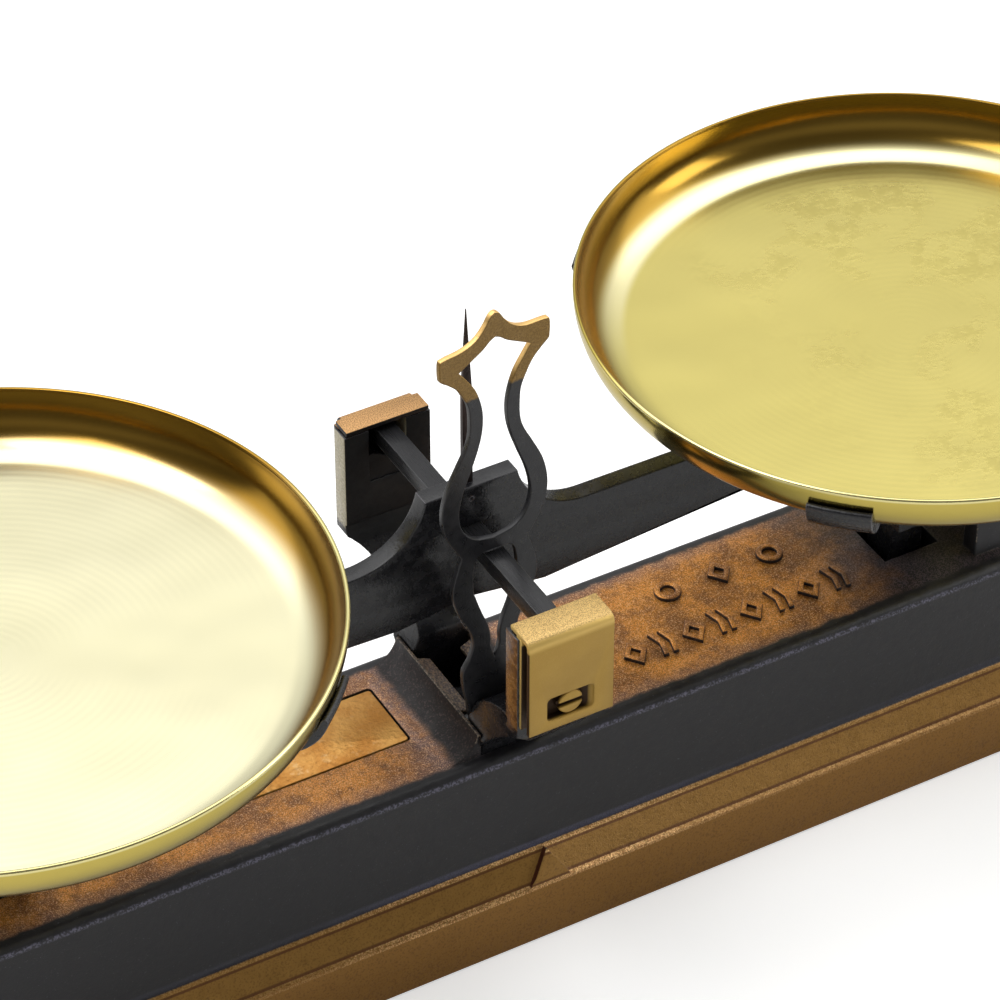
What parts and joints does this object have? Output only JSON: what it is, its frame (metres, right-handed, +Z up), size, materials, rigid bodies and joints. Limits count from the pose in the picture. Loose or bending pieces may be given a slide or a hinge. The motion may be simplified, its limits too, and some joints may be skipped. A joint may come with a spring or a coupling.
{
  "type": "counter balance",
  "caption": "Equal-arm counter balance with a beam below two loose brass pans, knife bearings in posts, a lyre-shaped index frame and a cast hollow base.",
  "frame": {"origin": "centre of the underside of the base", "axes": "+X along the beam to the right pan, +Y from the index frame's side to the rear, +Z up"},
  "size_m": [0.413, 0.165, 0.1821],
  "materials": {
    "black_paint": "semi-gloss black enamel on cast iron, copper-gold bronze paint worn over the base top and plinth",
    "gold_paint": "satin gold bronze paint with a fine speckle",
    "plate_paint": "satin copper-gold bronze paint",
    "steel": "ground steel, blackened where it isn't ground",
    "pan_brass": "polished pale brass, lightly tarnished"
  },
  "bodies": {
    "base": {"base_casting": "black_paint", "front_pillar": "black_paint", "rear_pillar": "black_paint", "front_pillar_screws": "steel", "rear_pillar_screws": "steel", "front_bearing": "steel", "rear_bearing": "steel", "front_end_plate": "gold_paint", "rear_end_plate": "gold_paint", "front_cover": "gold_paint", "rear_cover": "gold_paint", "front_cover_screw": "gold_paint", "rear_cover_screw": "gold_paint", "index_frame": "black_paint", "index_frame_screws": "steel", "adjusting_plate": "plate_paint", "stay_bracket": "black_paint", "stay_bracket_screws": "steel", "stay_centre_pin": "steel"},
    "beam_assembly": {"beam": "black_paint", "centre_knife": "steel", "left_end_knife": "steel", "right_end_knife": "steel", "pointer": "steel", "pointer_rivet": "steel"},
    "stay": {"lower_stay": "black_paint"},
    "left_pan_carrier": {"left_carrier": "black_paint", "left_carrier_bearings": "steel", "left_stay_pin": "steel"},
    "right_pan_carrier": {"right_carrier": "black_paint", "right_carrier_bearings": "steel", "right_stay_pin": "steel"},
    "left_loose_pan": {"left_pan": "pan_brass"},
    "right_loose_pan": {"right_pan": "pan_brass"}
  },
  "joints": [
    {"name": "beam_swing", "type": "hinge", "parent": "base", "child": "beam_assembly", "pos_m": [0, 0, 0.1032], "axis": [0, 1, 0], "range_deg": [-5, 5]},
    {"name": "left_carrier_swing", "type": "hinge", "parent": "beam_assembly", "child": "left_pan_carrier", "pos_m": [-0.124, 0, 0.1024], "axis": [0, 1, 0], "range_deg": [-5, 5]},
    {"name": "right_carrier_swing", "type": "hinge", "parent": "beam_assembly", "child": "right_pan_carrier", "pos_m": [0.124, 0, 0.1024], "axis": [0, 1, 0], "range_deg": [-5, 5]},
    {"name": "stay_swing", "type": "hinge", "parent": "base", "child": "stay", "pos_m": [0, 0, 0.03], "axis": [0, 1, 0], "range_deg": [-5, 5]},
    {"name": "left_pan_lift", "type": "slide", "parent": "left_pan_carrier", "child": "left_loose_pan", "axis": [0, 0, 1], "range_m": [0, 0.04]},
    {"name": "right_pan_lift", "type": "slide", "parent": "right_pan_carrier", "child": "right_loose_pan", "axis": [0, 0, 1], "range_m": [0, 0.04]}
  ],
  "couplings": [
    {"joint": "left_carrier_swing", "follows": "beam_swing", "ratio": -1},
    {"joint": "right_carrier_swing", "follows": "beam_swing", "ratio": -1},
    {"joint": "stay_swing", "follows": "beam_swing", "ratio": 1}
  ]
}
